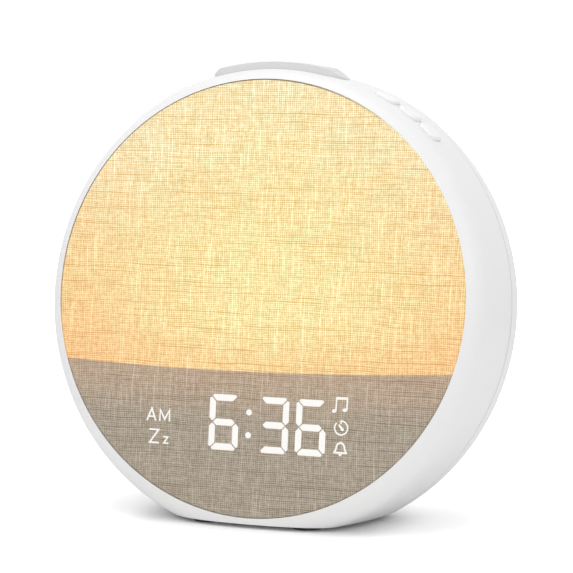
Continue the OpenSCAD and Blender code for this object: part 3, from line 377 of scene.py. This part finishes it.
# ---------------------------------------------------------------- mesh helpers
def piece(name, verts, faces, material, body, smooth=True):
    """A mesh piece given in mm in the face's own frame."""
    mesh = bpy.data.meshes.new(name)
    mesh.from_pydata([tuple(c * MM for c in v) for v in verts], [], faces)
    mesh.validate()
    mesh.materials.append(material)
    mesh.polygons.foreach_set("use_smooth", [smooth] * len(mesh.polygons))
    ob = bpy.data.objects.new(name, mesh)
    bpy.context.scene.collection.objects.link(ob)
    ob.matrix_world = FACE
    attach(ob, body)
    return ob


def rings_to_faces(rings, count):
    """Quads between rings of count points each."""
    faces = []
    for k in range(rings - 1):
        for i in range(count):
            j = (i + 1) % count
            faces.append((k * count + i, k * count + j, (k + 1) * count + j, (k + 1) * count + i))
    return faces


def along(start, end, share):
    """Point at a share of the way from start to end."""
    return tuple(a + (b - a) * share for a, b in zip(start, end))


def arc(cx, cy, r, start, end, steps):
    """Points on a circle between two angles in degrees."""
    angles = (math.radians(start + (end - start) * k / steps) for k in range(steps + 1))
    return [(cx + r * math.cos(a), cy + r * math.sin(a)) for a in angles]


# ---------------------------------------------------------------- cloth
CLOTH_FRONT, CLOTH_WRAP = -0.02, 0.6                # level of its face, and the round of its edge
CLOTH_LEVELS = (-2.35, -1.5, -0.7)                  # of the part that is turned round the panel
CLOTH_POINTS, CLOTH_RINGS, CLOTH_STEP = 288, 68, 1.15
FLAT_R = FABRIC_R - 1.4                             # where its flat part begins
BULGE_LOW, BULGE_HIGH = 0.27, 0.12                  # of its edge: it hides the gap, except at the upper left


def gap_shows(x, y):
    """From 0 at the lower right of the face to 1 at its upper left, where the gap round the cloth shows."""
    k = (TOWARDS[1] * y + TOWARDS[0] * x - RIM_LOW) / (RIM_HIGH - RIM_LOW)
    k = min(max(k, 0), 1)
    return k * k * (3 - 2 * k)


def make_cloth():
    """The linen, stretched over the front panel and turned round its edge."""
    side = FABRIC_R - 0.05
    profile = [(side, z) for z in CLOTH_LEVELS]
    profile += arc(side - CLOTH_WRAP, CLOTH_FRONT - CLOTH_WRAP, CLOTH_WRAP, 15, 90, 5)
    profile += [(FLAT_R - CLOTH_STEP * k, CLOTH_FRONT) for k in range(CLOTH_RINGS)]
    verts = []
    for r, z in profile:
        for i in range(CLOTH_POINTS):
            a = 2 * math.pi * i / CLOTH_POINTS
            x, y = math.cos(a), math.sin(a)
            shows = gap_shows(x, y)
            bulge = BULGE_LOW * (1 - shows) + BULGE_HIGH * shows if r > FABRIC_R - 1.0 else 0
            verts.append(((r + bulge) * x, (r + bulge) * y, z))
    faces = rings_to_faces(len(profile), CLOTH_POINTS)
    centre, base = len(verts), (len(profile) - 1) * CLOTH_POINTS
    verts.append((0, 0, CLOTH_FRONT))
    faces += [(base + i, base + (i + 1) % CLOTH_POINTS, centre) for i in range(CLOTH_POINTS)]
    cloth = piece("linen_front", verts, faces, linen(), "root")
    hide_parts("fabric_front")


# ---------------------------------------------------------------- outlines of the lit signs
SIGN_BACK, SIGN_FRONT = -0.06, 0.03                 # they lie in the cloth's face
CORNER_ROUND = 0.28


def thin_solid(shapes):
    """Prisms between the sign depths from flat shapes, given as (points, faces)."""
    verts, faces = [], []
    for points, flat in shapes:
        base, n = len(verts), len(points)
        verts += [(x, y, z) for z in (SIGN_FRONT, SIGN_BACK) for x, y in points]
        edges = set()
        for f in flat:
            faces.append(tuple(base + i for i in f))
            faces.append(tuple(base + n + i for i in reversed(f)))
            edges.update(zip(f, f[1:] + f[:1]))
        faces += [(base + b, base + a, base + n + a, base + n + b) for a, b in sorted(edges) if (b, a) not in edges]
    return verts, faces


def outline(points):
    """One face from an outline, turned anticlockwise."""
    area = sum(a[0] * b[1] - b[0] * a[1] for a, b in zip(points, points[1:] + points[:1]))
    points = points if area > 0 else points[::-1]
    return points, [tuple(range(len(points)))]


def side_of(start, end):
    """Unit vector to the left of a straight line."""
    dx, dy = end[0] - start[0], end[1] - start[1]
    length = math.hypot(dx, dy)
    return -dy / length, dx / length


def stroke(points, width, closed=False):
    """A line of even width with mitred joints."""
    n, left, right = len(points), [], []
    for i, (x, y) in enumerate(points):
        sides = []
        if closed or i > 0:
            sides.append(side_of(points[i - 1], (x, y)))
        if closed or i < n - 1:
            sides.append(side_of((x, y), points[(i + 1) % n]))
        sx, sy = sum(s[0] for s in sides), sum(s[1] for s in sides)
        length = math.hypot(sx, sy)
        sx, sy = sx / length, sy / length
        reach = width / 2 * min(1 / max(sx * sides[0][0] + sy * sides[0][1], 0.1), 2.6)
        left.append((x + sx * reach, y + sy * reach))
        right.append((x - sx * reach, y - sy * reach))
    ends = n if closed else n - 1
    return left + right, [(i, n + i, n + (i + 1) % n, (i + 1) % n) for i in range(ends)]


def softened(points):
    """The outline with each corner cut by a short round."""
    made = []
    for before, at, after in zip(points[-1:] + points, points, points[1:] + points[:1]):
        start, end = (along(at, q, min(CORNER_ROUND / math.dist(at, q), 0.4)) for q in (before, after))
        made += [along(along(start, at, k), along(at, end, k), k) for k in (0, 0.33, 0.67, 1)]
    return made


# ---------------------------------------------------------------- the time, 6:36
DIGIT_W, DIGIT_H, BAR, BAR_GAP = 9.4, 18.1, 2.45, 0.42
BAR_CUT, BAR_CORNER = 1.2, 0.75
DIGIT_Y, COLON_X = -46.25, -0.65
COLON_RISE, COLON_R = 4.2, 1.15
DIGITS = ((-9.95, "afgecd"), (9.95, "abgcd"), (24.58, "afgecd"))    # place beside the colon, and the lit bars


def numeral(cx, bars):
    """The lit bars of one numeral. The outer ones are wide outside and narrow inside, cut at 45 degrees."""
    w, h, b, g = DIGIT_W / 2, DIGIT_H / 2, BAR / 2, BAR_GAP / 2 * math.sqrt(2)
    ow, oh, iw, ih = w + b, h + b, w - b, h - b
    cut, c = BAR_CUT + g, BAR_CORNER
    shape = {
        "a": [(-ow + cut, oh), (ow - cut, oh), (ow - c - g, oh - c), (iw - g, ih), (-iw + g, ih),
              (-ow + c + g, oh - c)],
        "g": [(-w + g, 0), (-iw + g, b), (iw - g, b), (w - g, 0), (iw - g, -b), (-iw + g, -b)],
        "b": [(ow, oh - cut), (ow - c, oh - c - g), (iw, ih - g), (iw, b + g), (w, g), (ow, b + g)],
    }
    for bar, source, sx, sy in (("d", "a", 1, -1), ("f", "b", -1, 1), ("c", "b", 1, -1), ("e", "b", -1, -1)):
        shape[bar] = [(sx * x, sy * y) for x, y in shape[source]]
    return [outline(softened([(cx + x, DIGIT_Y + y) for x, y in shape[bar]])) for bar in bars]


def time_shapes():
    shapes = []
    for beside, bars in DIGITS:
        shapes += numeral(COLON_X + beside, bars)
    return shapes + [outline(arc(COLON_X, DIGIT_Y + rise, COLON_R, 0, 350, 35)) for rise in (-COLON_RISE, COLON_RISE)]


# ---------------------------------------------------------------- the small signs
LINE = 0.66
LETTER_HALF = 2.42
A_X, M_X, LETTER_Y = -40.2, -34.75, -44.95
ZEDS = ((-38.75, -53.05, 4.2, 5.5, 0.64), (-33.9, -54.3, 2.3, 2.9, 0.56))      # x, y, width, height, line
TIMER_X, TIMER_Y, TIMER_R = 35.8, -45.55, 2.52
BELL_X = 35.85
BELL_SIDE = ((2.35, -54.55), (1.72, -53.3), (1.45, -52.0), (1.1, -51.45), (0.5, -51.05))


def letter_shapes():
    """A, M, and a large and a small Z."""
    foot, head = LETTER_Y - LETTER_HALF, LETTER_Y + LETTER_HALF
    shapes = [
        stroke([(A_X - 1.85, foot), (A_X, head - 0.3), (A_X + 1.85, foot)], LINE),
        stroke([(A_X - 0.98, LETTER_Y - 0.85), (A_X + 0.98, LETTER_Y - 0.85)], LINE * 0.9),
        stroke([(M_X - 2.0, foot), (M_X - 1.92, head - 0.55), (M_X, foot + 0.75), (M_X + 1.92, head - 0.55),
                (M_X + 2.0, foot)], LINE),
    ]
    for x, y, w, h, line in ZEDS:
        low, high = y - h / 2 + line / 2, y + h / 2 - line / 2
        shapes.append(stroke([(x - w / 2, high), (x + w / 2 - 0.35, high), (x - w / 2 + 0.35, low),
                              (x + w / 2, low)], line))
    return shapes


def note_shapes():
    """Two joined notes."""
    shapes = [stroke([(33.45, -39.55), (33.6, -34.75), (37.75, -34.65), (37.7, -38.95)], 0.58),
              outline([(33.9, -35.0), (37.45, -34.9), (37.45, -35.3), (33.9, -35.42)])]
    for x, y in ((32.85, -39.55), (36.95, -39.05)):
        turns = [2 * math.pi * k / 24 for k in range(24)]
        shapes.append(outline([(x + 0.92 * math.cos(a), y + 0.68 * math.sin(a) + 0.06 * math.cos(a)) for a in turns]))
    return shapes


def timer_shapes():
    """An open ring with a stub, and a tapered pointer."""
    x, y, r = TIMER_X, TIMER_Y, TIMER_R
    pointer = [(x - 0.98, y + 1.12), (x - 0.72, y + 1.28), (x + 1.05, y - 0.28)]
    pointer += arc(x + 0.55, y - 0.55, 0.6, 20, -150, 8) + [(x - 1.1, y + 0.9)]
    return [stroke([(x - 0.12, y + r - 1.1)] + arc(x, y, r, 92.5, -224, 48), 0.56), outline(pointer)]


def bell_shapes():
    """A bell with its knob and its clapper."""
    rim = [(BELL_X + x, y) for x, y in BELL_SIDE] + [(BELL_X - x, y) for x, y in reversed(BELL_SIDE)]
    knob = [(BELL_X + x, y) for x, y in ((-0.42, -50.95), (0.42, -50.95), (0.2, -50.5), (-0.2, -50.5))]
    return [stroke(rim, LINE, closed=True), outline(knob), outline(arc(BELL_X, -54.98, 0.72, 0, -180, 12))]


def make_signs():
    signs = letter_shapes() + note_shapes() + timer_shapes() + bell_shapes()
    for name, shapes in (("lit_numerals", time_shapes()), ("lit_signs", signs)):
        verts, faces = thin_solid(shapes)
        piece(name, verts, faces, LIT, "root", smooth=False)


# ---------------------------------------------------------------- side keys with rounded edges
KEY_LEN, KEY_MID, KEY_CORNER, KEY_RISE = 9.0, 15.5, 2.6, 1.3
KEY_EDGE = 1.0                                      # radius of the rounded top edge
KEY_LIP, FLANGE_TOP, KEY_INSIDE = 1.2, -2.4, 84.2   # flange under the wall, and the key's inner radius
POST_R, POST_END = 1.5, 82.0
SIDE_KEYS = (("left", -33.0, 14.9, 13.8, 2), ("right", 35.7, 10.4, 8.4, 3))    # angle, pitch, width, count
SHARP = math.radians(50)


def outward(angle, across, out, depth):
    """Point at a distance across from a key's middle line and out from the body's axis."""
    a = math.radians(angle)
    return (across * math.cos(a) + out * math.sin(a), -across * math.sin(a) + out * math.cos(a) - DROP, -depth)


def between(start, end, steps=10):
    """Points along a straight side, without its ends."""
    return [along(start, end, i / steps) for i in range(1, steps)]


def rounded_ring(w, length, corner):
    """Outline of a rounded rectangle, anticlockwise, with points along the straight sides."""
    points = []
    for k, (sx, sy) in enumerate(((1, 1), (-1, 1), (-1, -1), (1, -1))):
        quarter = arc(sx * (w / 2 - corner), sy * (length / 2 - corner), corner, 90 * k, 90 * k + 90, 10)
        if points:
            points += between(points[-1], quarter[0])
        points += quarter
    return points + between(points[-1], points[0])


def closed_rings(verts, rings):
    """Faces of a closed body whose rings follow each other from the inside out."""
    count = len(verts) // rings
    faces = [tuple(reversed(f)) for f in rings_to_faces(rings, count)]
    return faces + [tuple(range(count)), tuple(reversed(range(len(verts) - count, len(verts))))]


def smooth_by_angle(ob):
    """Leaves only the edges sharp where the faces meet at a wide angle."""
    mesh = bmesh.new()
    mesh.from_mesh(ob.data)
    for e in mesh.edges:
        e.smooth = len(e.link_faces) == 2 and e.calc_face_angle() < SHARP
    mesh.to_mesh(ob.data)
    mesh.free()


def side_key(key, angle, sideways, w):
    """Key that follows the body's curve: flange under the wall, rounded top edge, post on the switch."""
    # Each ring is inset from the key's outline, longer by its lip, and lifted from the body's wall
    rings = [(0, KEY_LIP, None), (0, KEY_LIP, FLANGE_TOP), (0, 0, FLANGE_TOP), (0, 0, KEY_RISE - KEY_EDGE)]
    for a in (math.radians(15 * k) for k in range(1, 7)):
        rings.append((KEY_EDGE * (1 - math.cos(a)), 0, KEY_RISE - KEY_EDGE + KEY_EDGE * math.sin(a)))
    rings += [(inset, 0, KEY_RISE) for inset in (1.4, 1.9, 2.4, 2.9, 3.3, 3.7)]
    verts = []
    for inset, lip, lift in rings:
        corner = max(KEY_CORNER - inset, 0.3)
        for x, y in rounded_ring(w - 2 * inset, KEY_LEN - 2 * inset + 2 * lip, corner):
            across, depth = sideways + x, KEY_MID - y
            radius = KEY_INSIDE if lift is None else body_radius(depth) + lift
            verts.append(outward(angle, across, math.sqrt(radius ** 2 - across ** 2), depth))
    faces = closed_rings(verts, len(rings))
    post = [outward(angle, sideways + x, out, KEY_MID - y)
            for out in (POST_END, KEY_INSIDE + 1) for x, y in arc(0, 0, POST_R, 0, 345, 23)]
    faces += [tuple(len(verts) + i for i in f) for f in closed_rings(post, 2)]
    cap = piece(f"{key}_cap", verts + post, faces, KEYS, f"{key}_body")
    smooth_by_angle(cap)
    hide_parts(key)


def make_side_keys():
    for side, angle, pitch, width, count in SIDE_KEYS:
        for i in range(count):
            side_key(f"{side}_key_{i + 1}", angle, (i - (count - 1) / 2) * pitch, width)


# ---------------------------------------------------------------- floor, light and camera
FLOOR_REACH = 4.0
FLOOR_PALE = 0.91
SHADOW_X, SHADOW_Y, SHADOW_FORWARD = 30.0, 15.0, 8.7    # half sizes and place of the painted shadow patch under the body, in mm
SHADOW_ROUND = 10.0
FADE_NEAR, FADE_FAR = (-3.0, 18.0, 0.0, 0.42), (20.0, 500.0, 0.0, 0.58)
BESIDE_X, BESIDE_Y = (40.0, 100.0, 0.5, 0.0), (15.0, 55.0, 1.0, 0.0)    # the painted soft shadow beside the body, where the floor's white glow is dimmed
WORLD_LIGHT = 0.69
HEART = Vector((0, 0, 0.085))
LAMPS = (("key", (-0.55, -1.0, 1.3), 0.9, 3.9), ("fill", (1.3, -0.8, 0.70), 1.0, 3.5),
         ("top", (-0.1, -0.1, 1.5), 0.8, 4.9))      # place, size, power
CAMERA_AZ, CAMERA_EL, CAMERA_FAR = math.radians(22.57), math.radians(5.86), 0.877
CAMERA_AIM = Vector((0.01216, FACE_Y * MM, FACE_Z * MM + 0.00478))


def floor_material():
    """Pale floor that the camera sees fade to white away from the body; its white glow is held back under and beside
    the body, so the real shadow there is widened by a painted one.
    """
    t = Tree("floor_pale")
    x, y, _ = t.mm()
    past_x = t.math("MAXIMUM", t.less(t.magnitude(x), SHADOW_X), 0.0)
    past_y = t.math("MAXIMUM", t.less(t.magnitude(t.add(y, SHADOW_FORWARD)), SHADOW_Y), 0.0)
    beyond = t.less(t.away(past_x, past_y), SHADOW_ROUND)
    # Painted shadow: the camera-only white glow fades in only away from the body, and is dimmed beside it
    paleness = t.add(t.ramp(beyond, *FADE_NEAR), t.ramp(beyond, *FADE_FAR))
    beside = t.mul(t.ramp(t.magnitude(x), *BESIDE_X), t.ramp(t.magnitude(y), *BESIDE_Y))
    seen = t.node("LightPath", {})["Is Camera Ray"]
    t.set(base_color=(FLOOR_PALE,) * 3, roughness=0.9, specular_ior_level=0.1, emission_color=(1.0, 1.0, 1.0),
          emission_strength=t.mul(seen, t.mul(paleness, t.less(1.0, beside))))
    return t.mat


def make_floor():
    mesh = bpy.data.meshes.new("floor")
    corners = [(sx * FLOOR_REACH, sy * FLOOR_REACH, 0) for sx, sy in ((-1, -1), (1, -1), (1, 1), (-1, 1))]
    mesh.from_pydata(corners, [], [(0, 1, 2, 3)])
    mesh.materials.append(floor_material())
    floor = bpy.data.objects.new("floor", mesh)
    bpy.context.scene.collection.objects.link(floor)


def make_world():
    """Even light, and plain white for the camera, for reflections and through clear parts."""
    world = bpy.data.worlds.new("world")
    bpy.context.scene.world = world
    world.use_nodes = True
    nodes, link = world.node_tree.nodes, world.node_tree.links.new
    nodes.clear()
    path, mix = nodes.new("ShaderNodeLightPath"), nodes.new("ShaderNodeMixShader")
    seen = path.outputs["Is Camera Ray"]
    for ray in ("Is Glossy Ray", "Is Transmission Ray"):
        either = nodes.new("ShaderNodeMath")
        either.operation = "MAXIMUM"
        link(seen, either.inputs[0])
        link(path.outputs[ray], either.inputs[1])
        seen = either.outputs[0]
    link(seen, mix.inputs[0])
    for k, strength in ((1, WORLD_LIGHT), (2, 1.0)):
        back = nodes.new("ShaderNodeBackground")
        back.inputs["Color"].default_value = (1, 1, 1, 1)
        back.inputs["Strength"].default_value = strength
        link(back.outputs[0], mix.inputs[k])
    link(mix.outputs[0], nodes.new("ShaderNodeOutputWorld").inputs[0])


def make_lamps():
    for name, place, size, power in LAMPS:
        data = bpy.data.lights.new(name, "AREA")
        data.size, data.energy = size, power
        lamp = bpy.data.objects.new(name, data)
        bpy.context.scene.collection.objects.link(lamp)
        lamp.location = place
        lamp.rotation_euler = (HEART - Vector(place)).to_track_quat("-Z", "Y").to_euler()


def make_camera():
    data = bpy.data.cameras.new("camera")
    data.lens, data.sensor_width = 150.8, 36.0
    data.clip_start = 0.05
    camera = bpy.data.objects.new("camera", data)
    bpy.context.scene.collection.objects.link(camera)
    level = math.cos(CAMERA_EL)
    back = Vector((math.sin(CAMERA_AZ) * level, -math.cos(CAMERA_AZ) * level, math.sin(CAMERA_EL)))
    camera.location = CAMERA_AIM + back * CAMERA_FAR
    camera.rotation_euler = (-back).to_track_quat("-Z", "Y").to_euler()
    bpy.context.scene.camera = camera


make_cloth()
make_signs()
dress_nodes()
make_side_keys()
make_floor()
make_world()
make_lamps()
make_camera()
bpy.context.scene.view_settings.view_transform = "Standard"
